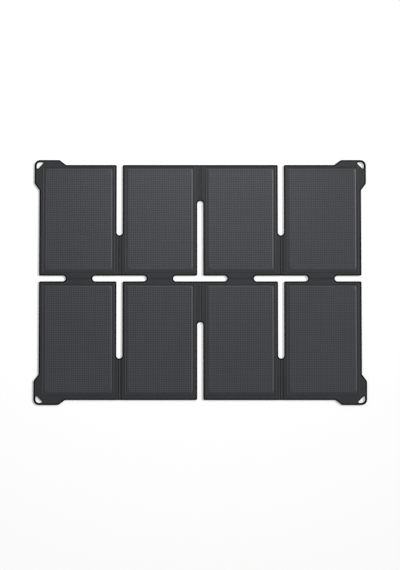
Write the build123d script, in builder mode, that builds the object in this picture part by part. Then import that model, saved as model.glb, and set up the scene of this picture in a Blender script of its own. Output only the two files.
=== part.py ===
from build123d import *
from dataclasses import dataclass
from math import sqrt
import os

# A folding solar sheet of eight stiff panels in two rows of four, lying open.
# The panels hang together by short fold webs. Round-ended slots separate them elsewhere.
# +X runs along the four columns, +Y from the low row to the top row, +Z up.
# The origin is the centre of the footprint, on the surface that the sheet lies on.

# ---------------------------------------------------------------- driving dimensions, mm
outer_panel_width = 186.0       # columns 1 and 4
inner_panel_width = 179.5       # columns 2 and 3
top_panel_height = 267.0
low_panel_height = 284.0
column_gap = 14.6               # between neighbouring columns, and the slots' width
row_gap = 14.0                  # between the two rows
panel_corner_radius = 3.0

# borders between a panel's edge and its window
fold_side_border = 10.8
outer_side_border = 12.5
top_edge_border = 9.0           # at the sheet's top edge
top_fold_border = 13.0          # top row, beside the row fold
low_fold_border = 10.5          # low row, beside the row fold
low_edge_border = 17.0          # at the sheet's low edge

# layers of a panel, from the back to the front
ply_thickness = 0.5             # each of the two skins
back_relief = 2.6               # the tray stands this far behind the flange
front_relief = 0.9              # the window stands this far before the flange
cell_thickness = 0.2

# window, bead and tray
window_corner_radius = 2.5
window_bevel = 0.6
window_lap = 1.5                # the window film laps this far onto the front cover
groove_width = 3.2              # between the window and the bead around it
bead_width = 2.4
bead_height = 0.5
bead_round = 0.4
tray_margin = 4.6               # the tray reaches this far past the window
tray_wall = 0.6
tray_corner_radius = 6.0
tray_edge_round = 0.8
board_clearance = 0.2

# solar cells, one string in each panel
cell_count = 5
cell_gap = 2.0
cell_edge_margin = 3.6          # from the window's edge to the cells
cell_pocket_clearance = 0.4

# fold webs
fold_clearance = 0.3            # left between panels when the sheet is folded up
hinge_play = 0.1                # between a web's round edge and the flange beside it
open_pivot_gap = 0.5            # between the two halves of a top column web
cusp_width = 0.2                # a slot's round end stops here, short of a knife edge
bridge_length = 64.0            # row webs, at their narrowest
top_outer_web_length = 97.0     # columns 1-2 and 3-4, top row, from the row fold up
low_outer_web_length = 99.0     # columns 1-2 and 3-4, low row, from the low edge up
top_centre_web_length = 87.0    # columns 2-3, top row, from the top edge down
low_centre_web_length = 97.5    # columns 2-3, low row, from the row fold down

# corner tabs
tab_reach = 12.0                # beyond the panel's side and end
tab_end_length = 60.0           # straight stretch along the sheet's top or low edge
tab_side_length = 57.0          # straight stretch along the sheet's side
tab_slope_run = 16.0
tab_slope_round = 8.0
tab_root = 6.0                  # overlap with the panel's own flange
tab_corner_radius = 13.5
tab_wall = 5.0                  # around the outside of the eyelet
eyelet_flat_offset = 1.5        # eyelet's straight side, inside the tab's corner centre
eyelet_tip_radius = 2.4

# outlet of the output lead, in the side wall of the last panel's tray
outlet_width = 12.0
outlet_height = 1.5
outlet_depth = 20.0
outlet_inset = 60.0             # from the tray's low end

# ---------------------------------------------------------------- levels above the back faces
web_level = ply_thickness + back_relief                 # middle of the webs and flanges
flange_top = web_level + ply_thickness
cell_top = flange_top + cell_thickness
window_top = flange_top + front_relief

# Distances between the two hinge lines of each kind of web. Folded up, the fronts of the two
# rows meet first. Columns 2 and 3 then close back to back. The outer folds go around a pair
# of panels on each side, so their webs are longer by twice the row webs' length.
row_hinge_spacing = 2 * (ply_thickness + front_relief) + fold_clearance
centre_hinge_spacing = 2 * web_level + fold_clearance
outer_hinge_spacing = centre_hinge_spacing + 2 * row_hinge_spacing

web_thickness = 2 * ply_thickness
web_edge_radius = web_thickness / 2
tongue_setback = web_edge_radius + hinge_play           # from a hinge line to the flange


# ---------------------------------------------------------------- where everything lies
row_fold_y = (low_panel_height - top_panel_height) / 2
centre_fold_x = 0.0
outer_fold_x = column_gap + inner_panel_width


@dataclass
class Panel:
    name: str
    left: float
    right: float
    low: float
    top: float
    side: int           # -1 or +1 where the panel's left or right side is the sheet's side, else 0
    end: int            # +1 in the top row, -1 in the low row

    def window(self, margin=0.0):
        left_border = outer_side_border if self.side < 0 else fold_side_border
        right_border = outer_side_border if self.side > 0 else fold_side_border
        low_border = top_fold_border if self.end > 0 else low_edge_border
        top_border = top_edge_border if self.end > 0 else low_fold_border
        return (
            self.left + left_border - margin,
            self.right - right_border + margin,
            self.low + low_border - margin,
            self.top - top_border + margin,
        )


@dataclass
class Fold:
    name: str
    x: float            # middle of the gap
    spacing: float      # between the web's two hinge lines
    base: float         # y of the web's straight end, flush with the panels
    tip: float          # y of the web's other end, where the slot's round end is deepest


def make_panels():
    inner_left = centre_fold_x + column_gap / 2
    inner_right = inner_left + inner_panel_width
    outer_left = inner_right + column_gap
    outer_right = outer_left + outer_panel_width
    columns = [
        (1, -outer_right, -outer_left, -1),
        (2, -inner_right, -inner_left, 0),
        (3, inner_left, inner_right, 0),
        (4, outer_left, outer_right, 1),
    ]
    top_row_low = row_fold_y + row_gap / 2
    low_row_top = row_fold_y - row_gap / 2
    found = {}
    for number, left, right, side in columns:
        top_name = f"top_{number}"
        low_name = f"low_{number}"
        found[top_name] = Panel(top_name, left, right, top_row_low, top_row_low + top_panel_height, side, 1)
        found[low_name] = Panel(low_name, left, right, low_row_top - low_panel_height, low_row_top, side, -1)
    return found


panels = make_panels()
sheet_top = panels["top_1"].top
sheet_low = panels["low_1"].low
top_row_low = panels["top_1"].low
low_row_top = panels["low_1"].top

low_outer_tip = sheet_low + low_outer_web_length
low_centre_tip = low_row_top - low_centre_web_length
top_outer_tip = top_row_low + top_outer_web_length
top_centre_tip = sheet_top - top_centre_web_length

low_folds = [
    Fold("low_12", -outer_fold_x, outer_hinge_spacing, sheet_low, low_outer_tip),
    Fold("low_23", centre_fold_x, centre_hinge_spacing, low_row_top, low_centre_tip),
    Fold("low_34", outer_fold_x, outer_hinge_spacing, sheet_low, low_outer_tip),
]
top_folds = [
    Fold("top_12", -outer_fold_x, outer_hinge_spacing, top_row_low, top_outer_tip),
    Fold("top_23", centre_fold_x, centre_hinge_spacing, sheet_top, top_centre_tip),
    Fold("top_34", outer_fold_x, outer_hinge_spacing, top_row_low, top_outer_tip),
]

# Each row web is level with the middle of an inner panel, measured from the panel's inner side,
# so that the four of them lie on each other when the columns are folded.
bridge_x = {}
for number in (1, 2):
    bridge_x[number] = panels[f"low_{number}"].right - inner_panel_width / 2
for number in (3, 4):
    bridge_x[number] = panels[f"low_{number}"].left + inner_panel_width / 2

row_end_radius = row_gap / 2
column_end_radius = column_gap / 2


# ---------------------------------------------------------------- outlines
def rectangle_between(left, right, low, top, corner_radius=0.0):
    with BuildSketch() as area:
        with Locations(((left + right) / 2, (low + top) / 2)):
            if corner_radius > 0:
                RectangleRounded(right - left, top - low, corner_radius)
            else:
                Rectangle(right - left, top - low)
    return area.sketch


def cusp_setback(end_radius):
    return sqrt(end_radius**2 - (end_radius - cusp_width) ** 2)


def row_web_area(number, near, far):
    """The area of a row web between two distances from the row fold's middle line."""
    middle = bridge_x[number]
    end_centre = bridge_length / 2 + row_end_radius
    half_length = end_centre - cusp_setback(row_end_radius)
    low, top = sorted((row_fold_y + near, row_fold_y + far))
    with BuildSketch() as area:
        add(rectangle_between(middle - half_length, middle + half_length, low, top))
        with Locations((middle - end_centre, row_fold_y), (middle + end_centre, row_fold_y)):
            Circle(row_end_radius, mode=Mode.SUBTRACT)
    return area.sketch


def column_web_area(fold, near, far):
    """The area of a column web between two distances from its gap's middle line."""
    way = 1 if fold.tip > fold.base else -1
    end_centre = fold.tip + way * column_end_radius
    reach = end_centre - way * cusp_setback(column_end_radius)
    low, top = sorted((fold.base, reach))
    left, right = sorted((fold.x + near, fold.x + far))
    with BuildSketch() as area:
        add(rectangle_between(left, right, low, top))
        with Locations((fold.x, end_centre)):
            Circle(column_end_radius, mode=Mode.SUBTRACT)
    return area.sketch


def tab_area(panel):
    """The corner tab, with its two sloping ends and the rounded outer corner."""
    corner_x = panel.left if panel.side < 0 else panel.right
    corner_y = panel.top if panel.end > 0 else panel.low

    def place(out, along):
        return (corner_x + panel.side * out, corner_y + panel.end * along)

    side_stop = tab_reach - tab_side_length
    end_stop = tab_reach - tab_end_length
    with BuildSketch() as area:
        with BuildLine():
            Polyline(
                place(tab_reach, tab_reach),
                place(tab_reach, side_stop),
                place(0, side_stop - tab_slope_run),
                place(-tab_root, side_stop - tab_slope_run),
                place(-tab_root, -tab_root),
                place(end_stop - tab_slope_run, -tab_root),
                place(end_stop - tab_slope_run, 0),
                place(end_stop, tab_reach),
                close=True,
            )
        make_face()
        outer_corner = area.vertices().sort_by_distance(place(tab_reach, tab_reach))[0]
        fillet(outer_corner, tab_corner_radius)
        for bend in (place(tab_reach, side_stop), place(end_stop, tab_reach)):
            fillet(area.vertices().sort_by_distance(bend)[0], tab_slope_round)
    return area.sketch


def eyelet_centre(panel):
    """The centre of the tab's rounded corner, which the eyelet's round side shares."""
    corner_x = panel.left if panel.side < 0 else panel.right
    corner_y = panel.top if panel.end > 0 else panel.low
    inset = tab_reach - tab_corner_radius
    return (corner_x + panel.side * inset, corner_y + panel.end * inset)


def eyelet_area(panel):
    """The tab's eyelet: a triangle with a long side towards the panel and a round far corner."""
    centre_x, centre_y = eyelet_centre(panel)
    leg = tab_corner_radius - tab_wall
    tip = leg + eyelet_flat_offset * sqrt(2)

    def place(out, along):
        return (centre_x + panel.side * out, centre_y + panel.end * along)

    with BuildSketch() as area:
        with BuildLine():
            Polyline(place(leg, leg), place(leg, -tip), place(-tip, leg), close=True)
        make_face()
        far_corner = area.vertices().sort_by_distance(place(leg, leg))[0]
        fillet(far_corner, leg)
        for point in (place(leg, -tip), place(-tip, leg)):
            fillet(area.vertices().sort_by_distance(point)[0], eyelet_tip_radius)
    return area.sketch


def flange_area(panel):
    """A skin's whole outline: the panel, its share of each web beside it, and its corner tab."""
    number = int(panel.name[-1])
    folds = top_folds if panel.end > 0 else low_folds
    row_edge = panel.end * row_gap / 2
    row_tongue = panel.end * (row_hinge_spacing / 2 + tongue_setback)
    with BuildSketch() as area:
        add(rectangle_between(panel.left, panel.right, panel.low, panel.top, panel_corner_radius))
        add(row_web_area(number, row_tongue, row_edge))
        for fold in folds:
            side = 0
            if abs(fold.x - column_gap / 2 - panel.right) < column_gap / 4 + fold_clearance:
                side = -1
            if abs(fold.x + column_gap / 2 - panel.left) < column_gap / 4 + fold_clearance:
                side = 1
            if side:
                tongue = side * (fold.spacing / 2 + tongue_setback)
                add(column_web_area(fold, tongue, side * (column_gap / 2 + panel_corner_radius)))
        if panel.side:
            add(tab_area(panel))
            add(eyelet_area(panel), mode=Mode.SUBTRACT)
    return area.sketch


# ---------------------------------------------------------------- pieces of a panel
def front_cover(panel):
    """Front skin with the window's opening and the raised bead around it."""
    inner = groove_width
    outer = groove_width + bead_width
    with BuildPart() as cover:
        with BuildSketch(Plane.XY.offset(web_level)):
            add(flange_area(panel))
            add(rectangle_between(*panel.window(-window_lap), window_corner_radius), mode=Mode.SUBTRACT)
        extrude(amount=ply_thickness)
        with BuildSketch(Plane.XY.offset(flange_top)):
            add(rectangle_between(*panel.window(outer), window_corner_radius + outer))
            add(rectangle_between(*panel.window(inner), window_corner_radius + inner), mode=Mode.SUBTRACT)
        extrude(amount=bead_height)
        fillet(cover.edges().group_by(Axis.Z)[-1], bead_round)
    return cover.part


def back_cover(panel):
    """Back skin with the shallow tray that holds the board."""
    tray = panel.window(tray_margin)
    hollow = panel.window(tray_margin - tray_wall)
    hollow_radius = tray_corner_radius - tray_wall
    with BuildPart() as cover:
        with BuildSketch():
            add(rectangle_between(*tray, tray_corner_radius))
        extrude(amount=web_level)
        fillet(cover.edges().group_by(Axis.Z)[0], tray_edge_round)
        with BuildSketch(Plane.XY.offset(back_relief)):
            add(flange_area(panel))
        extrude(amount=ply_thickness)
        with BuildSketch(Plane.XY.offset(ply_thickness)):
            add(rectangle_between(*hollow, hollow_radius))
        extrude(amount=back_relief, mode=Mode.SUBTRACT)
        if panel.name == "low_4":
            with BuildSketch(Plane.XY.offset(ply_thickness)):
                add(outlet_area(panel))
            extrude(amount=outlet_height, mode=Mode.SUBTRACT)
    return cover.part


def outlet_area(panel):
    """Footprint of the output lead's way out, through the tray's wall and into the board."""
    _, right, low, _ = panel.window(tray_margin)
    near = low + outlet_inset
    return rectangle_between(right - outlet_depth, right + tray_wall, near, near + outlet_width)


def core_board(panel):
    """Stiff board that fills the tray, with a step that comes up through the front skin."""
    gap = board_clearance
    foot = panel.window(tray_margin - tray_wall - gap)
    step = panel.window(-window_lap - gap)
    with BuildPart() as board:
        with BuildSketch(Plane.XY.offset(ply_thickness)):
            add(rectangle_between(*foot, tray_corner_radius - tray_wall - gap))
        extrude(amount=back_relief)
        with BuildSketch(Plane.XY.offset(web_level)):
            add(rectangle_between(*step, window_corner_radius))
        extrude(amount=ply_thickness)
        if panel.name == "low_4":
            with BuildSketch(Plane.XY.offset(ply_thickness)):
                add(outlet_area(panel))
            extrude(amount=outlet_height, mode=Mode.SUBTRACT)
    return board.part


def cell_places(panel):
    """Cell size and middles. Every panel has the same cells, which fit the smallest window."""
    widths = []
    heights = []
    for other in panels.values():
        left, right, low, top = other.window(-cell_edge_margin)
        widths.append(right - left)
        heights.append(top - low)
    length = min(widths)
    pitch = (min(heights) + cell_gap) / cell_count
    left, right, low, top = panel.window()
    middle_x = (left + right) / 2
    middle_y = (low + top) / 2
    middles = []
    for index in range(cell_count):
        middles.append((middle_x, middle_y + (index - (cell_count - 1) / 2) * pitch))
    return length, pitch - cell_gap, middles


def solar_cells(panel):
    """String of cells, side by side under the window."""
    length, width, middles = cell_places(panel)
    with BuildPart() as cells:
        with BuildSketch(Plane.XY.offset(flange_top)):
            with Locations(*middles):
                Rectangle(length, width)
        extrude(amount=cell_thickness)
    return cells.part


def cell_window(panel):
    """Clear window film over the cells, with a bevelled edge and a pocket that the cells lie in."""
    length, width, middles = cell_places(panel)
    string_low = middles[0][1] - width / 2 - cell_pocket_clearance
    string_top = middles[-1][1] + width / 2 + cell_pocket_clearance
    half_length = length / 2 + cell_pocket_clearance
    middle_x = middles[0][0]
    with BuildPart() as film:
        with BuildSketch(Plane.XY.offset(flange_top)):
            add(rectangle_between(*panel.window(), window_corner_radius))
        extrude(amount=front_relief)
        chamfer(film.edges().group_by(Axis.Z)[-1], window_bevel)
        with BuildSketch(Plane.XY.offset(flange_top)):
            add(rectangle_between(middle_x - half_length, middle_x + half_length, string_low, string_top))
        extrude(amount=cell_thickness, mode=Mode.SUBTRACT)
    return film.part


# ---------------------------------------------------------------- fold webs
def row_web(number):
    """Strip between a low panel and the top panel above it, round along both hinge lines."""
    end_centre = bridge_length / 2 + row_end_radius
    section = Plane((bridge_x[number], row_fold_y, web_level), x_dir=(0, 1, 0), z_dir=(1, 0, 0))
    with BuildPart() as web:
        with BuildSketch(section):
            SlotCenterToCenter(row_hinge_spacing, web_thickness)
        extrude(amount=end_centre - cusp_setback(row_end_radius), both=True)
        middle = bridge_x[number]
        with BuildSketch(Plane.XY.offset(web_level)):
            with Locations((middle - end_centre, row_fold_y), (middle + end_centre, row_fold_y)):
                Circle(row_end_radius)
        extrude(amount=web_thickness, both=True, mode=Mode.SUBTRACT)
    return web.part


def column_web(fold, half=0):
    """Strip between two columns. With half -1 or +1, only the part left or right of the middle."""
    way = 1 if fold.tip > fold.base else -1
    end_centre = fold.tip + way * column_end_radius
    length = abs(end_centre - fold.base) - cusp_setback(column_end_radius)
    section = Plane((fold.x, fold.base, web_level), x_dir=(1, 0, 0), z_dir=(0, way, 0))
    with BuildPart() as web:
        with BuildSketch(section):
            SlotCenterToCenter(fold.spacing, web_thickness)
            if half:
                cut = fold.spacing + web_thickness
                side = half * section.x_dir.X
                with Locations((-side * (cut - open_pivot_gap) / 2, 0)):
                    Rectangle(cut, web_thickness, mode=Mode.SUBTRACT)
        extrude(amount=length)
        with BuildSketch(Plane.XY.offset(web_level)):
            with Locations((fold.x, end_centre)):
                Circle(column_end_radius)
        extrude(amount=web_thickness, both=True, mode=Mode.SUBTRACT)
    return web.part


# ---------------------------------------------------------------- build and write every piece
def write_piece(piece, label):
    piece.label = label
    export_step(piece, f"parts/{label}.step")


os.makedirs("parts", exist_ok=True)
for panel in panels.values():
    write_piece(front_cover(panel), f"{panel.name}_front_cover")
    write_piece(cell_window(panel), f"{panel.name}_cell_window")
    write_piece(solar_cells(panel), f"{panel.name}_solar_cells")
    write_piece(core_board(panel), f"{panel.name}_core_board")
    write_piece(back_cover(panel), f"{panel.name}_back_cover")
for number in bridge_x:
    write_piece(row_web(number), f"row_web_{number}")
for fold in low_folds:
    write_piece(column_web(fold), f"{fold.name}_web")
for fold in top_folds:
    write_piece(column_web(fold, half=-1), f"{fold.name}_web_left")
    write_piece(column_web(fold, half=1), f"{fold.name}_web_right")
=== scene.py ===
import bpy
from math import acos, cos, hypot, pi, radians, sin, sqrt
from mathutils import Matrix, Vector


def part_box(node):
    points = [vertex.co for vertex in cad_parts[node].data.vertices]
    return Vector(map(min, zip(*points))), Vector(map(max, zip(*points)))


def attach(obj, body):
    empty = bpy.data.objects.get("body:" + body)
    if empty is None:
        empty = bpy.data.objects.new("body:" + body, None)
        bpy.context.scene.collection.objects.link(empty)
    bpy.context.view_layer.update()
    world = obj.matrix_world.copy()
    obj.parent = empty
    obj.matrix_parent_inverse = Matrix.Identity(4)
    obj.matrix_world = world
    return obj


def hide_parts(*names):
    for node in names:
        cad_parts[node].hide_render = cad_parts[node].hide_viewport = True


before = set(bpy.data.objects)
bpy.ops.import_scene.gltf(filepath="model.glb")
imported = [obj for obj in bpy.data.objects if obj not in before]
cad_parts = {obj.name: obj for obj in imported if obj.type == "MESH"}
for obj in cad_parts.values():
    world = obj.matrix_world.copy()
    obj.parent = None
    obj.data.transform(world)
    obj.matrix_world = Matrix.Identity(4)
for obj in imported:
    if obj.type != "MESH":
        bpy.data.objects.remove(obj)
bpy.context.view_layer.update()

print("frame loaded")

tiny = 0.00001     # places nearer to each other than this count as one
panelNames = [f"{row}_{number}" for row in ("top", "low") for number in (1, 2, 3, 4)]


# The sheet's layers and gaps are worked out from the frame.
def panelWindow(panel):
    low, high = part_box(f"{panel}_cell_window")
    return low.x, high.x, low.y, high.y


def nearWindow(point, panel, reach):
    left, right, low, top = panelWindow(panel)
    return left - reach < point.x < right + reach and low - reach < point.y < top + reach


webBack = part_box("low_12_web")[0].z
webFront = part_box("low_12_web")[1].z
webLevel = (webBack + webFront) / 2
clothThickness = webFront - webBack     # both skins together, as thick as a web
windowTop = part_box("low_1_cell_window")[1].z

# The slots between the panels have round ends. A web lies between two skins, with a seam along each side.
slot = {
    "rowRadius": 0.0070, "columnRadius": 0.0073, "seamGap": 0.0001,
    "seamSearch": 0.0003, "seamNormal": 0.99,
}


class Web:
    def __init__(self, nodes, panels, across, lengthways, ends):
        # across and lengthways are axes, and ends says which ends are round, the low one first
        self.panels = panels
        self.across = across
        self.lengthways = lengthways
        self.ends = ends
        boxes = [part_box(node) for node in nodes]
        near = min(low[across] for low, high in boxes)
        far = max(high[across] for low, high in boxes)
        self.start = min(low[lengthways] for low, high in boxes)
        self.end = max(high[lengthways] for low, high in boxes)
        self.middle = (near + far) / 2
        self.half = (far - near) / 2
        self.radius = slot["rowRadius"] if across == 1 else slot["columnRadius"]
        horn = sqrt(self.radius ** 2 - self.half ** 2)     # how far a round end's middle lies off the web
        self.roundMiddles = (self.start - horn, self.end + horn)

    def endLine(self, offset, end, width=0.0):
        # the place of one end, or of a line width further in, at an offset from the web's middle line
        way = 1 if end == 0 else -1
        if not self.ends[end]:
            return (self.start if end == 0 else self.end) + way * width
        return self.roundMiddles[end] + way * sqrt((self.radius + width) ** 2 - offset ** 2)

    def besideSeam(self, spot, normal):
        # true for a skin's wall that faces this web across the seam
        offset = abs(spot[self.across] - self.middle) - self.half
        between = self.start < spot[self.lengthways] < self.end
        facing = abs(normal[self.across]) > slot["seamNormal"]
        return between and 0 < offset < slot["seamSearch"] and facing

    def point(self, offset, place, height=0.0):
        spot = Vector((0, 0, height))
        spot[self.across] = self.middle + offset
        spot[self.lengthways] = place
        return spot


webs = {}
for number in (1, 2, 3, 4):
    panels = (f"low_{number}", f"top_{number}")
    webs[f"row_{number}"] = Web([f"row_web_{number}"], panels, 1, 0, (True, True))
for number in (1, 2, 3):
    pair = f"{number}{number + 1}"
    halves = [f"top_{pair}_web_left", f"top_{pair}_web_right"]
    ends = (True, False) if number == 2 else (False, True)
    webs[f"top_{pair}"] = Web(halves, (f"top_{number}", f"top_{number + 1}"), 0, 1, ends)
    webs[f"low_{pair}"] = Web([f"low_{pair}_web"], (f"low_{number}", f"low_{number + 1}"), 0, 1, ends)


# A wire is one socket of a material. Sums and products of wires add Math nodes.
class Wire:
    def __init__(self, tree, socket):
        self.tree = tree
        self.socket = socket

    def make(self, kind, settings, inputs, output=0):
        node = self.tree.nodes.new(kind)
        for name, value in settings.items():
            setattr(node, name, value)
        for name, value in inputs.items():
            if isinstance(value, Wire):
                self.tree.links.new(value.socket, node.inputs[name])
            else:
                node.inputs[name].default_value = value
        return Wire(self.tree, node.outputs[output])

    def maths(self, operation, other=None):
        inputs = {0: self} if other is None else {0: self, 1: other}
        return self.make("ShaderNodeMath", {"operation": operation}, inputs)

    def __add__(self, other):
        return self.maths("ADD", other)

    __radd__ = __add__

    def __sub__(self, other):
        return self.maths("SUBTRACT", other)

    def __rsub__(self, other):
        return self.make("ShaderNodeMath", {"operation": "SUBTRACT"}, {0: other, 1: self})

    def __mul__(self, other):
        return self.maths("MULTIPLY", other)

    __rmul__ = __mul__

    def __truediv__(self, other):
        return self.maths("DIVIDE", other)

    def __abs__(self):
        return self.maths("ABSOLUTE")

    def sine(self):
        return self.maths("SINE")

    def larger(self, other):
        return self.maths("MAXIMUM", other)

    def between(self, low, high):
        # 0 below low, 1 above high, smooth in between
        ends = {"Value": self, "From Min": low, "From Max": high}
        return self.make("ShaderNodeMapRange", {"interpolation_type": "SMOOTHSTEP"}, ends)

    def axes(self):
        split = self.tree.nodes.new("ShaderNodeSeparateXYZ")
        self.tree.links.new(self.socket, split.inputs[0])
        return [Wire(self.tree, output) for output in split.outputs]

    def noise(self, scale, detail=3.0, roughness=0.5):
        inputs = {"Vector": self, "Scale": scale, "Detail": detail, "Roughness": roughness}
        return self.make("ShaderNodeTexNoise", {}, inputs)

    def weave(self, pitch):
        # soft squares that repeat each pitch, from 0 to 1
        x, y, z = self.axes()
        turn = 2 * pi / pitch
        return ((x * turn).sine() * (y * turn).sine() + 1) / 2

    def blend(self, dark, light):
        # the colour between dark and light that this wire, from 0 to 1, picks
        inputs = {0: self, 6: dark, 7: light}
        return self.make("ShaderNodeMix", {"data_type": "RGBA"}, inputs, 2)

    def feed(self, socket):
        self.tree.links.new(self.socket, socket)


def startMaterial(name, roughness, specular):
    material = bpy.data.materials.new(name)
    material.use_nodes = True
    tree = material.node_tree
    surface = tree.nodes["Principled BSDF"]
    surface.inputs["Roughness"].default_value = roughness
    surface.inputs["Specular IOR Level"].default_value = specular
    place = Wire(tree, tree.nodes.new("ShaderNodeTexCoord").outputs["Object"])
    return material, surface, place


def grey(level, blue=1.0):
    # blue above 1 cools the grey, and the green goes a fifth of the way with it
    return (level, level * (0.8 + blue * 0.2), level * blue, 1)


def bumped(surface, height, strength, distance):
    inputs = {"Height": height, "Strength": strength, "Distance": distance}
    height.make("ShaderNodeBump", {}, inputs).feed(surface.inputs["Normal"])


# Coated cloth: a fine plain weave under a matt coat, slightly uneven over a hand's width.
cloth = {
    "thread": 0.0007, "weaveDepth": 0.00005, "weaveStrength": 0.5, "weaveBump": 0.6, "grainBump": 0.6,
    "grainScale": 900.0, "patchScale": 18.0, "weaveTint": 0.25, "grainTint": 0.35, "patchTint": 0.4,
    "darkest": 0.2, "lightest": 0.8, "dark": 0.024, "light": 0.036, "blue": 1.13, "specular": 0.34,
    "roughness": 0.55, "roughnessDrop": 0.08, "patchRoughness": 0.12, "grainRoughness": 0.06,
}


def makeCloth(name, tone=1.0):
    material, surface, place = startMaterial(name, cloth["roughness"], cloth["specular"])
    weave = place.weave(cloth["thread"])
    grain = place.noise(cloth["grainScale"], detail=2.0)
    patch = place.noise(cloth["patchScale"], detail=4.0, roughness=0.6)
    tint = weave * cloth["weaveTint"] + grain * cloth["grainTint"] + patch * cloth["patchTint"]
    tint = tint.between(cloth["darkest"], cloth["lightest"])
    dark = grey(cloth["dark"] * tone, cloth["blue"])
    light = grey(cloth["light"] * tone, cloth["blue"])
    tint.blend(dark, light).feed(surface.inputs["Base Color"])
    rough = cloth["roughness"] - cloth["roughnessDrop"] + patch * cloth["patchRoughness"]
    (rough + grain * cloth["grainRoughness"]).feed(surface.inputs["Roughness"])
    height = weave * cloth["weaveBump"] + grain * cloth["grainBump"]
    bumped(surface, height, cloth["weaveStrength"], cloth["weaveDepth"])
    return material


# Sealed edge: the two skins pressed and melted together and smoother than the cloth, painted nearly black:
# painted shade for the dark wall and the contact shadow along each edge.
sealAndEdgeShade = {
    "dark": 0.0012, "light": 0.0035, "roughness": 0.5, "roughnessDrop": 0.1, "grainRoughness": 0.2,
    "specular": 0.06, "grainScale": 500.0, "depth": 0.00003, "strength": 0.4,
}


def makeSealAndEdgeShade():
    material, surface, place = startMaterial("sealedEdgeAndShade", sealAndEdgeShade["roughness"], sealAndEdgeShade["specular"])
    grain = place.noise(sealAndEdgeShade["grainScale"])
    grain.blend(grey(sealAndEdgeShade["dark"]), grey(sealAndEdgeShade["light"])).feed(surface.inputs["Base Color"])
    rough = sealAndEdgeShade["roughness"] - sealAndEdgeShade["roughnessDrop"] + grain * sealAndEdgeShade["grainRoughness"]
    rough.feed(surface.inputs["Roughness"])
    bumped(surface, grain, sealAndEdgeShade["strength"], sealAndEdgeShade["depth"])
    return material


# Window film: dark blue-grey, with a square emboss whose lines are painted darker, as painted shade in the
# emboss's grooves.
film = {
    "pitch": 0.00535, "lineHalfWidth": 0.0007, "dark": 0.032, "light": 0.064, "blue": 1.18,
    "tint": 0.80, "patchTint": 0.3, "lineShadeTint": 1.05, "dimpleTint": 0.1, "patchScale": 9.0,
    "roughness": 0.40, "roughnessDrop": 0.06, "patchRoughness": 0.1, "lineRoughness": 0.1, "specular": 0.40,
    "dimple": 0.0009, "dimpleDepth": 0.00003, "dimpleStrength": 0.5,
}
lineSoftness = 0.6     # a line fades over this share of its half width, to either side of its edge


def lineMask(coordinate, middle, pitch, halfWidth):
    # 1 on lines that repeat each pitch, counted from middle, and 0 between them
    phase = ((coordinate - middle) * (pi / pitch)).sine()
    edge = sin(pi * halfWidth / pitch)
    return 1 - abs(phase).between(edge * (1 - lineSoftness), edge * (1 + lineSoftness))


def makeFilm(name, middle, pitchX, pitchY):
    material, surface, place = startMaterial(name, film["roughness"], film["specular"])
    x, y, z = place.axes()
    across = lineMask(x, middle.x, pitchX, film["lineHalfWidth"])
    along = lineMask(y, middle.y, pitchY, film["lineHalfWidth"])
    lines = across.larger(along)
    dimples = place.weave(film["dimple"])
    patch = place.noise(film["patchScale"], detail=4.0, roughness=0.6)
    tint = film["tint"] + patch * film["patchTint"]
    # the lines are darkened: painted shade in the grooves between the embossed cells
    tint = tint - lines * film["lineShadeTint"] + dimples * film["dimpleTint"]
    dark = grey(film["dark"], film["blue"])
    light = grey(film["light"], film["blue"])
    tint.blend(dark, light).feed(surface.inputs["Base Color"])
    rough = film["roughness"] - film["roughnessDrop"] + patch * film["patchRoughness"]
    (rough + lines * film["lineRoughness"]).feed(surface.inputs["Roughness"])
    bumped(surface, dimples, film["dimpleStrength"], film["dimpleDepth"])
    return material


# Board, fibre glass: greenish grey with a coarse cloth pattern inside the resin.
board = {
    "thread": 0.0016, "dark": (0.144, 0.16, 0.12, 1), "light": (0.276, 0.30, 0.24, 1),
    "patchScale": 40.0, "weaveTint": 0.5, "patchTint": 0.5,
    "roughness": 0.45, "roughnessDrop": 0.05, "weaveRoughness": 0.1, "specular": 0.4,
    "depth": 0.00005, "strength": 0.4,
}


def makeBoard():
    material, surface, place = startMaterial("glassFibreBoard", board["roughness"], board["specular"])
    weave = place.weave(board["thread"])
    patch = place.noise(board["patchScale"])
    tint = weave * board["weaveTint"] + patch * board["patchTint"]
    tint.blend(board["dark"], board["light"]).feed(surface.inputs["Base Color"])
    rough = board["roughness"] - board["roughnessDrop"] + weave * board["weaveRoughness"]
    rough.feed(surface.inputs["Roughness"])
    bumped(surface, weave, board["strength"], board["depth"])
    return material


# Solar cells: blue-black silicon with silver fingers across and busbars along.
cell = {
    "finger": 0.0016, "fingerHalfWidth": 0.00008, "busbar": 0.013, "busbarHalfWidth": 0.0005,
    "darkSilicon": (0.006, 0.008, 0.022, 1), "lightSilicon": (0.010, 0.014, 0.034, 1),
    "silver": (0.42, 0.42, 0.44, 1), "crystalScale": 60.0,
    "roughness": 0.25, "roughnessDrop": 0.03, "crystalRoughness": 0.1, "specular": 0.5,
}


def makeCell():
    material, surface, place = startMaterial("siliconCell", cell["roughness"], cell["specular"])
    x, y, z = place.axes()
    fingers = lineMask(x, 0.0, cell["finger"], cell["fingerHalfWidth"])
    busbars = lineMask(y, 0.0, cell["busbar"], cell["busbarHalfWidth"])
    grid = fingers.larger(busbars)
    crystal = place.noise(cell["crystalScale"], detail=2.0)
    silicon = crystal.blend(cell["darkSilicon"], cell["lightSilicon"])
    grid.blend(silicon, cell["silver"]).feed(surface.inputs["Base Color"])
    grid.feed(surface.inputs["Metallic"])
    rough = cell["roughness"] - cell["roughnessDrop"] + crystal * cell["crystalRoughness"]
    rough.feed(surface.inputs["Roughness"])
    return material


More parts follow.
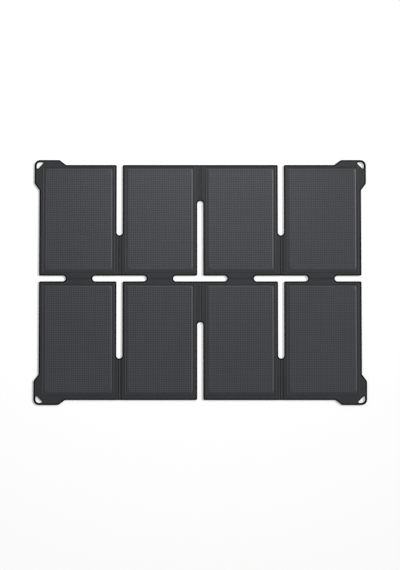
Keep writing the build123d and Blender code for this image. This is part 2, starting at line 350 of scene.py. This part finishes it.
skinCloth = makeCloth("skinCloth")
webCloth = makeCloth("webCloth", 0.68)
creaseHighlightCloth = makeCloth("creaseHighlightCloth", 1.2)     # lighter cloth along the crease in the middle of a web: a painted highlight on the crease's ridge
backCloth = makeCloth("backCloth", 0.8)
# the near-black sealed edge, whose black is painted shade along the outlines
sealedEdgeAndShade = makeSealAndEdgeShade()
boardStuff = makeBoard()
cellStuff = makeCell()
print("materials made")


# Small helpers for modelling.
def only(piece):
    if bpy.context.object and bpy.context.object.mode != "OBJECT":
        bpy.ops.object.mode_set(mode="OBJECT")
    bpy.ops.object.select_all(action="DESELECT")
    piece.select_set(True)
    bpy.context.view_layer.objects.active = piece


def pick(piece, kind, test):
    # leaves edit mode on, with only the faces, edges or vertices that pass the test selected
    bpy.ops.object.mode_set(mode="EDIT")
    bpy.ops.mesh.select_mode(type=kind)
    bpy.ops.mesh.select_all(action="DESELECT")
    bpy.ops.object.mode_set(mode="OBJECT")
    mesh = piece.data
    if kind == "FACE":
        for face in mesh.polygons:
            face.select = test(face)
    elif kind == "EDGE":
        for edge in mesh.edges:
            edge.select = test(*[mesh.vertices[index].co for index in edge.vertices])
    else:
        for vertex in mesh.vertices:
            vertex.select = test(vertex.co)
    bpy.ops.object.mode_set(mode="EDIT")


def turnOutwards():
    bpy.ops.mesh.select_all(action="SELECT")
    bpy.ops.mesh.normals_make_consistent(inside=False)


def settle(piece, name):
    # an object at the origin, with its place in its mesh
    bpy.ops.object.mode_set(mode="OBJECT")
    bpy.ops.object.transform_apply(location=True, rotation=True, scale=True)
    piece.name = name
    piece.data.name = name


def smooth(piece, angle):
    only(piece)
    bpy.ops.object.shade_smooth_by_angle(angle=radians(angle))


def dress(piece, *materials):
    piece.data.materials.clear()
    for material in materials:
        piece.data.materials.append(material)


def assignPicked(piece, material):
    piece.active_material_index = piece.data.materials.find(material.name)
    bpy.ops.object.material_slot_assign()


def weld(threshold=0.000002):
    # leaves edit mode on
    bpy.ops.object.mode_set(mode="EDIT")
    bpy.ops.mesh.select_all(action="SELECT")
    bpy.ops.mesh.remove_doubles(threshold=threshold)


def copyOfNode(node, name):
    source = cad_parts[node]
    piece = bpy.data.objects.new(name, source.data.copy())
    piece.data.name = name
    bpy.context.scene.collection.objects.link(piece)
    only(piece)
    weld()
    bpy.ops.object.mode_set(mode="OBJECT")
    return piece


# The camera looks down on the open sheet, from a little towards its low edge. Its field is as high as
# fieldHeight at the target.
camera = {"distance": 2.4, "elevation": 88.0, "target": (-0.0006, -0.0072, 0.004), "fieldHeight": 1.369}


def makeCamera():
    lens = bpy.data.cameras.new("camera")
    lens.lens = camera["distance"] * lens.sensor_width / camera["fieldHeight"]
    eye = bpy.data.objects.new("camera", lens)
    bpy.context.scene.collection.objects.link(eye)
    tilt = radians(90 - camera["elevation"])
    target = Vector(camera["target"])
    eye.location = target + camera["distance"] * Vector((0, -sin(tilt), cos(tilt)))
    eye.rotation_euler = (tilt, 0, 0)
    bpy.context.scene.camera = eye


makeCamera()
print("camera set")

# Skins: a front and a back of coated cloth on each panel.
skin = {"smoothAngle": 35, "levelNormal": 0.999, "outsideNormal": -0.5}


def makeSkin(panel, side):
    # side is 1 for the front skin and -1 for the back
    cover = "front" if side > 0 else "back"
    node = f"{panel}_{cover}_cover"
    piece = copyOfNode(node, f"{panel}_{cover}_skin")
    if side > 0:
        # the bead is a piece of its own
        for vertex in piece.data.vertices:
            vertex.co.z = min(vertex.co.z, webFront)
        weld()
        bpy.ops.object.mode_set(mode="OBJECT")
    dress(piece, skinCloth if side > 0 else backCloth)
    smooth(piece, skin["smoothAngle"])
    for face in piece.data.polygons:
        face.use_smooth = abs(face.normal.z) < skin["levelNormal"]     # no shade runs across a level face
    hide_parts(node)
    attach(piece, panel)
    if side < 0:
        # its flat cut is as long and wide as the piece, with the corners and the tab's slopes cut away
        low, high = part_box(node)
        flat = (high.x - low.x, high.y - low.y)
        area = sum(face.area for face in piece.data.polygons if face.normal.z < skin["outsideNormal"])
        area = min(area, flat[0] * flat[1])


for panel in panelNames:
    makeSkin(panel, 1)
    makeSkin(panel, -1)
print("skins made")

# Sealed edges: a pressed band around each skin's outline and around the eyelets, painted black as painted
# shade along the edges.
band = {
    "width": 0.0031, "eyeletWidth": 0.0018, "rise": 0.00006, "overhang": 0.00003, "endSteps": 5,
    "beadFoot": 0.0055, "wallNormal": 0.3, "shortest": 0.00025, "cusp": 0.0003,
    "seamReach": 0.00005, "arcReach": 0.0001, "weld": 0.000004, "smoothAngle": 35,
}


def rounded(spot):
    # to a thousandth of a millimetre
    return tuple(round(value, 6) for value in spot)


def outlines(node, panel, level):
    # the skin's outlines at the given level, as rows of points with the cloth on their left
    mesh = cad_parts[node].data
    follows = {}
    for face in mesh.polygons:
        isWall = abs(face.normal.z) <= band["wallNormal"]
        isThin = abs(face.center.z - webLevel) < clothThickness / 2
        if not isWall or not isThin or nearWindow(face.center, panel, band["beadFoot"]):
            continue
        if any(web.besideSeam(face.center, face.normal) for web in webs.values()):
            continue
        along = Vector((-face.normal.y, face.normal.x))
        corners = [mesh.vertices[index].co for index in face.vertices]
        atLevel = [corner.xy for corner in corners if abs(corner.z - level) < tiny]
        if len(atLevel) == 2:
            first, second = sorted(atLevel, key=lambda spot: spot.dot(along))
            follows[rounded(first)] = rounded(second)
    rows = []
    starts = [spot for spot in follows if spot not in follows.values()]
    while follows:
        spot = starts.pop() if starts else next(iter(follows))
        row = [Vector(spot)]
        while spot in follows:
            spot = follows.pop(spot)
            if (Vector(spot) - row[-1]).length > band["shortest"] or spot not in follows:
                row.append(Vector(spot))
        rows.append(row)
    return rows


def isClosed(row):
    return (row[0] - row[-1]).length < band["shortest"]


def leftOf(first, second):
    way = (second - first).normalized()
    return Vector((-way.y, way.x))


def roundEndAt(spot):
    # the middle and radius of the slot's round end that the spot lies on
    for web in webs.values():
        for end in (0, 1):
            middle = web.point(0, web.roundMiddles[end]).xy
            further = (spot - middle)[web.lengthways] * (1 if end == 0 else -1)
            if web.ends[end] and further > 0 and (spot - middle).length < web.radius + band["cusp"]:
                return middle, web.radius
    return None, 0


def insetRow(row, width):
    # the row moved to its left, with mitred corners
    closed = isClosed(row)
    inner = []
    for index, spot in enumerate(row):
        before = row[index - 1] if index > 0 else row[-2]
        after = row[index + 1] if index < len(row) - 1 else row[1]
        sides = []
        if index > 0 or closed:
            sides.append(leftOf(before, spot))
        if index < len(row) - 1 or closed:
            sides.append(leftOf(spot, after))
        mitre = (sides[0] + sides[-1]) / (1 + sides[0].dot(sides[-1]))
        middle, radius = roundEndAt(spot)
        if middle and width > 0:
            inner.append(middle + (spot - middle).normalized() * (radius + width))
        else:
            inner.append(spot + mitre * width)
    return inner


def seamEnd(spot):
    # outer and inner points where a band runs on around a slot's round end until it meets the seam
    for web in webs.values():
        seam = web.half + slot["seamGap"]
        side = 1 if spot[web.across] > web.middle else -1
        if abs(abs(spot[web.across] - web.middle) - seam) > band["seamReach"]:
            continue
        for end in (0, 1):
            middle = web.point(0, web.roundMiddles[end]).xy
            if not web.ends[end] or abs((spot - middle).length - web.radius) > band["arcReach"]:
                continue
            outer = []
            inner = []
            outerRadius = web.radius + band["width"]
            start = acos(seam / web.radius)
            turn = acos(seam / outerRadius) - start
            inward = 1 if end == 0 else -1
            for step in range(band["endSteps"] + 1):
                angle = start + turn * step / band["endSteps"]
                way = Vector((0, 0))
                way[web.across] = side * cos(angle)
                way[web.lengthways] = inward * sin(angle)
                outer.append(middle + way * seam / cos(angle))
                inner.append(middle + way * outerRadius)
            return outer, inner
    return [], []


def makeBand(name, row, width, panel, side):
    # a ribbon of points beside the outline, given a wall down to the middle of the cloth
    inner = insetRow(row, width)
    outer = insetRow(row, -band["overhang"])
    moreOuter, moreInner = seamEnd(row[-1])
    if moreOuter:
        outer = outer[:-1] + moreOuter
        inner = inner[:-1] + moreInner
    moreOuter, moreInner = seamEnd(row[0])
    if moreOuter:
        outer = moreOuter[::-1] + outer[1:]
        inner = moreInner[::-1] + inner[1:]
    height = (webFront if side > 0 else webBack) + side * band["rise"]
    spots = [(spot.x, spot.y, height) for spot in outer + inner]
    count = len(outer)
    faces = [(index, index + 1, count + index + 1, count + index) for index in range(count - 1)]
    mesh = bpy.data.meshes.new(name)
    mesh.from_pydata(spots, [], faces)
    piece = bpy.data.objects.new(name, mesh)
    bpy.context.scene.collection.objects.link(piece)
    only(piece)
    weld(band["weld"])
    bpy.ops.mesh.extrude_region_move(TRANSFORM_OT_translate={"value": (0, 0, webLevel - height)})
    turnOutwards()
    dress(piece, sealedEdgeAndShade)
    smooth(piece, band["smoothAngle"])
    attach(piece, panel)


for panel in panelNames:
    for side, cover in ((1, "front"), (-1, "back")):
        rows = outlines(f"{panel}_{cover}_cover", panel, webFront if side > 0 else webBack)
        for number, row in enumerate(rows, 1):
            if isClosed(row):
                makeBand(f"{panel}_{cover}_eyelet_band", row, band["eyeletWidth"], panel, side)
            else:
                makeBand(f"{panel}_{cover}_band_{number}", row, band["width"], panel, side)
print("sealed edges made")

# Beads: a pressed ridge of the front skin around each window.
bead = {
    "ridge": 0.0044, "halfWidth": 0.0020, "height": 0.00085, "steps": 10, "sink": 0.0001,
    "corner": 0.0046, "cornerSegments": 8, "smoothAngle": 50,
}


def makeBead(panel):
    left, right, low, top = panelWindow(panel)
    outer = bead["ridge"] + bead["halfWidth"]
    middle = ((left + right) / 2, (low + top) / 2, webFront - bead["sink"])
    bpy.ops.mesh.primitive_plane_add(size=1, location=middle)
    piece = bpy.context.object
    piece.scale = (right - left + 2 * outer, top - low + 2 * outer, 1)
    settle(piece, f"{panel}_bead")
    bpy.ops.object.mode_set(mode="EDIT")
    bpy.ops.mesh.select_mode(type="VERT")
    bpy.ops.mesh.select_all(action="SELECT")
    bpy.ops.mesh.bevel(offset=bead["corner"], segments=bead["cornerSegments"], affect="VERTICES")
    bpy.ops.mesh.select_mode(type="FACE")
    bpy.ops.mesh.select_all(action="SELECT")
    width = 2 * bead["halfWidth"] / bead["steps"]
    height = 0.0
    # the ridge's section is one wave of a cosine
    for step in range(bead["steps"]):
        across = (step + 1) / bead["steps"] * 2 - 1
        rise = bead["height"] * (1 + cos(pi * across)) / 2 - height
        height += rise
        bpy.ops.mesh.inset(thickness=width, depth=rise, use_even_offset=True)
    # the middle goes, and the ring gets its underside
    bpy.ops.mesh.delete(type="FACE")
    bpy.ops.mesh.select_mode(type="EDGE")
    bpy.ops.mesh.select_all(action="DESELECT")
    bpy.ops.mesh.select_non_manifold()
    bpy.ops.mesh.bridge_edge_loops()
    turnOutwards()
    bpy.ops.object.mode_set(mode="OBJECT")
    dress(piece, skinCloth)
    smooth(piece, bead["smoothAngle"])
    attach(piece, panel)


for panel in panelNames:
    makeBead(panel)
print("beads made")

# Windows: embossed film pads with a sloping edge.
pad = {
    "bevel": 0.0024, "edgeHeight": 0.0001, "crest": 0.00027, "crestSegments": 3,
    "corner": 0.0015, "cornerSegments": 5, "cellLine": 0.0003, "emboss": 0.00005, "smoothAngle": 40,
}


def makeWindow(panel):
    left, right, low, top = panelWindow(panel)
    across = right - left
    along = top - low
    fieldX = across - 2 * pad["bevel"]
    fieldY = along - 2 * pad["bevel"]
    columns = round(fieldX / film["pitch"])
    lines = round(fieldY / film["pitch"])
    middle = Vector(((left + right) / 2, (low + top) / 2, windowTop))
    cells = {"x_subdivisions": columns + 2, "y_subdivisions": lines + 2}
    bpy.ops.mesh.primitive_grid_add(size=1, location=middle, **cells)
    piece = bpy.context.object
    piece.scale = (across, along, 1)
    settle(piece, f"{panel}_window")
    dress(piece, makeFilm(f"windowFilm_{panel}", middle, fieldX / columns, fieldY / lines))

    def inside(point):
        # how far the point lies in from the nearer left or right side, and from the nearer low or top one
        return min(point.x - left, right - point.x), min(point.y - low, top - point.y)

    def onRim(point):
        return min(inside(point)) < tiny

    # the outer ring of cells becomes the sloping edge
    pick(piece, "VERT", lambda point: not onRim(point))
    growX = fieldX / (across * columns / (columns + 2))
    growY = fieldY / (along * lines / (lines + 2))
    bpy.ops.transform.resize(value=(growX, growY, 1), center_override=middle)
    bpy.ops.object.mode_set(mode="OBJECT")
    for vertex in piece.data.vertices:
        inX, inY = inside(vertex.co)
        if min(inX, inY) < tiny:
            # rim vertices keep in line with the cells
            if inX > tiny:
                vertex.co.x = middle.x + (vertex.co.x - middle.x) * growX
            if inY > tiny:
                vertex.co.y = middle.y + (vertex.co.y - middle.y) * growY
            vertex.co.z = webFront + pad["edgeHeight"]
    piece.data.update()

    def inField(face):
        return abs(face.center.x - middle.x) < fieldX / 2 and abs(face.center.y - middle.y) < fieldY / 2

    pick(piece, "FACE", inField)
    bpy.ops.mesh.inset(thickness=pad["cellLine"], depth=pad["emboss"], use_individual=True)

    def onCrest(a, b):
        isTop = abs(a.z - windowTop) < tiny and abs(b.z - windowTop) < tiny
        offX = max(abs(abs(point.x - middle.x) - fieldX / 2) for point in (a, b))
        offY = max(abs(abs(point.y - middle.y) - fieldY / 2) for point in (a, b))
        return isTop and min(offX, offY) < tiny

    pick(piece, "EDGE", onCrest)
    bpy.ops.mesh.bevel(offset=pad["crest"], segments=pad["crestSegments"], affect="EDGES")

    def alongRim(a, b):
        inX, inY = inside(a)
        runsY = abs(a.x - b.x) < tiny and inX < tiny
        runsX = abs(a.y - b.y) < tiny and inY < tiny
        return onRim(a) and onRim(b) and (runsX or runsY)

    # down to the skin, and closed below
    pick(piece, "EDGE", alongRim)
    bpy.ops.mesh.extrude_region_move(TRANSFORM_OT_translate={"value": (0, 0, -pad["edgeHeight"])})
    bpy.ops.mesh.edge_face_add()

    def upright(a, b):
        return hypot(a.x - b.x, a.y - b.y) < tiny and abs(a.z - b.z) > tiny and max(inside(a)) < tiny

    # round the four upright corners
    pick(piece, "EDGE", upright)
    bpy.ops.mesh.bevel(offset=pad["corner"], segments=pad["cornerSegments"], affect="EDGES")
    turnOutwards()
    bpy.ops.object.mode_set(mode="OBJECT")
    smooth(piece, pad["smoothAngle"])
    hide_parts(f"{panel}_cell_window")
    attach(piece, panel)


for panel in panelNames:
    makeWindow(panel)
print("windows made")

# Webs: strips of doubled cloth that fold along both long sides.
strip = {
    "sag": 0.1, "sagEdge": 0.0010, "crease": 0.055, "creaseWidth": 0.0010, "creaseHighlightWidth": 0.0007,
    "creaseHighlightShare": 0.15, "stepsPerHalf": 14, "stepsAlong": 12, "round": 0.0003, "roundSegments": 4,
    "overlap": 0.00012, "halfGap": 0.00001, "sealAndShadeShare": 0.98, "topNormal": 0.5, "narrowestSheet": 0.01,
    "smoothAngle": 30,
}


def stripHeight(web, offset):
    # between the middle crease and each side the cloth hangs a little lower
    halfWidth = web.half - strip["sagEdge"]
    toMiddle = max(0.0, 1 - abs(offset) / halfWidth)
    sag = strip["sag"] * web.half * 4 * toMiddle * (1 - toMiddle)     # the 4 makes it full halfway
    crease = strip["crease"] * web.half * max(0.0, 1 - abs(offset) / strip["creaseWidth"])
    return webLevel - sag + crease


def makeStrip(name, node, web, near, far):
    # near and far are offsets from the web's middle line
    isWhole = near < 0 < far
    steps = strip["stepsPerHalf"] * (2 if isWhole else 1)
    along = strip["stepsAlong"]
    bpy.ops.object.select_all(action="DESELECT")
    bpy.ops.mesh.primitive_grid_add(x_subdivisions=steps, y_subdivisions=along, size=1)
    piece = bpy.context.object
    for vertex in piece.data.vertices:
        # the grid runs from -0.5 to 0.5 both ways, and its first and last row of cells are the sealed ends
        offset = near + (vertex.co.x + 0.5) * (far - near)
        station = round((vertex.co.y + 0.5) * along)
        first = web.endLine(offset, 0, band["width"])
        last = web.endLine(offset, 1, band["width"])
        place = first + (last - first) * (station - 1) / (along - 2)
        if station == 0:
            place = web.endLine(offset, 0)
        elif station == along:
            place = web.endLine(offset, 1)
        vertex.co = web.point(offset, place, stripHeight(web, offset))
    settle(piece, name)
    thicken = piece.modifiers.new("thicken", "SOLIDIFY")
    thicken.thickness = clothThickness
    thicken.offset = 0.0
    bpy.ops.object.modifier_apply(modifier=thicken.name)
    if not isWhole:
        # the cut ends of two halves stand upright, so that neither leans into the other
        for vertex in piece.data.vertices:
            offset = vertex.co[web.across] - web.middle
            vertex.co[web.across] = web.middle + min(max(offset, near), far)
    bpy.ops.object.mode_set(mode="EDIT")
    turnOutwards()
    seams = [offset for offset in (near, far) if abs(offset) > web.half / 2]

    def onSeam(a, b):
        runsAlong = abs(a[web.lengthways] - b[web.lengthways]) > tiny
        offsets = [point[web.across] - web.middle for point in (a, b)]
        return runsAlong and any(max(abs(offset - seam) for offset in offsets) < tiny for seam in seams)

    pick(piece, "EDGE", onSeam)
    bpy.ops.mesh.bevel(offset=strip["round"], segments=strip["roundSegments"], affect="EDGES")
    dress(piece, webCloth, sealedEdgeAndShade, creaseHighlightCloth)
    # the top faces along the middle crease get the lighter cloth, a painted highlight on the ridge
    creaseHighlightReach = min(strip["creaseHighlightWidth"], web.half * strip["creaseHighlightShare"])

    def isOnCreaseHighlight(face):
        return face.normal.z > strip["topNormal"] and abs(face.center[web.across] - web.middle) < creaseHighlightReach

    pick(piece, "FACE", isOnCreaseHighlight)
    assignPicked(piece, creaseHighlightCloth)

    def isSealedAndShaded(face):
        offset = face.center[web.across] - web.middle
        place = face.center[web.lengthways]
        width = band["width"] * strip["sealAndShadeShare"]
        return place < web.endLine(offset, 0, width) or place > web.endLine(offset, 1, width)

    # the strip's sealed ends get the same near-black colour, painted shade along the slot's edge
    pick(piece, "FACE", isSealedAndShaded)
    assignPicked(piece, sealedEdgeAndShade)
    smooth(piece, strip["smoothAngle"])
    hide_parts(node)
    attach(piece, node)
    if far - near > strip["narrowestSheet"]:
        flat = (far - near, web.end - web.start)


for name, web in webs.items():
    reach = web.half + strip["overlap"]
    if name.startswith("top"):
        gap = strip["halfGap"]
        makeStrip(f"{name}_web_strip_left", f"{name}_web_left", web, -reach, -gap)
        makeStrip(f"{name}_web_strip_right", f"{name}_web_right", web, gap, reach)
    else:
        node = name.replace("row", "row_web") if name.startswith("row") else f"{name}_web"
        makeStrip(f"{node}_strip", node, web, -reach, reach)
print("webs made")

# Floor and light. The floor shines a little where it is seen or mirrored, and gives no light to the pieces.
floor = {"size": 6.0, "level": -0.0002, "colour": 0.80, "seen": 0.335, "roughness": 0.9, "specular": 0.0}


def makeFloor():
    bpy.ops.mesh.primitive_plane_add(size=floor["size"], location=(0, 0, floor["level"]))
    piece = bpy.context.object
    settle(piece, "floor")
    material, surface, place = startMaterial("floorPaper", floor["roughness"], floor["specular"])
    surface.inputs["Base Color"].default_value = grey(floor["colour"])
    rays = place.tree.nodes.new("ShaderNodeLightPath")
    seen = Wire(place.tree, rays.outputs["Is Camera Ray"])
    seen = seen.larger(Wire(place.tree, rays.outputs["Is Glossy Ray"]))
    seen = seen.larger(Wire(place.tree, rays.outputs["Is Transmission Ray"]))
    seen.blend(grey(0.0), grey(1.0)).feed(surface.inputs["Emission Color"])
    surface.inputs["Emission Strength"].default_value = floor["seen"]
    dress(piece, material)


lighting = {
    "world": 0.25,
    "sunPower": 2.42, "sunFrom": (0.73, 0.28, 0.62), "sunSoftness": 14.0,
    "boxPower": 2.2, "boxPlace": (0.0, 0.5, 0.7), "boxSize": 0.8,
}


def makeLight():
    world = bpy.data.worlds.new("room")
    bpy.context.scene.world = world
    world.use_nodes = True
    sky = world.node_tree.nodes["Background"]
    sky.inputs["Color"].default_value = (1, 1, 1, 1)
    sky.inputs["Strength"].default_value = lighting["world"]
    sun = bpy.data.lights.new("sun", "SUN")
    sun.energy = lighting["sunPower"]
    sun.angle = radians(lighting["sunSoftness"])
    softbox = bpy.data.lights.new("softbox", "AREA")
    softbox.energy = lighting["boxPower"]
    softbox.size = lighting["boxSize"]
    for lamp, place in ((sun, lighting["sunFrom"]), (softbox, lighting["boxPlace"])):
        piece = bpy.data.objects.new(lamp.name, lamp)
        bpy.context.scene.collection.objects.link(piece)
        piece.location = place
        piece.visible_camera = False
        piece.rotation_euler = (-Vector(place)).to_track_quat("-Z", "Y").to_euler()


makeFloor()
makeLight()
bpy.context.scene.view_settings.view_transform = "Standard"
print("floor and light set")

# The nodes that stay as they are get their finish.
for name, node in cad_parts.items():
    if name.endswith("core_board"):
        dress(node, boardStuff)
    elif name.endswith("solar_cells"):
        dress(node, cellStuff)
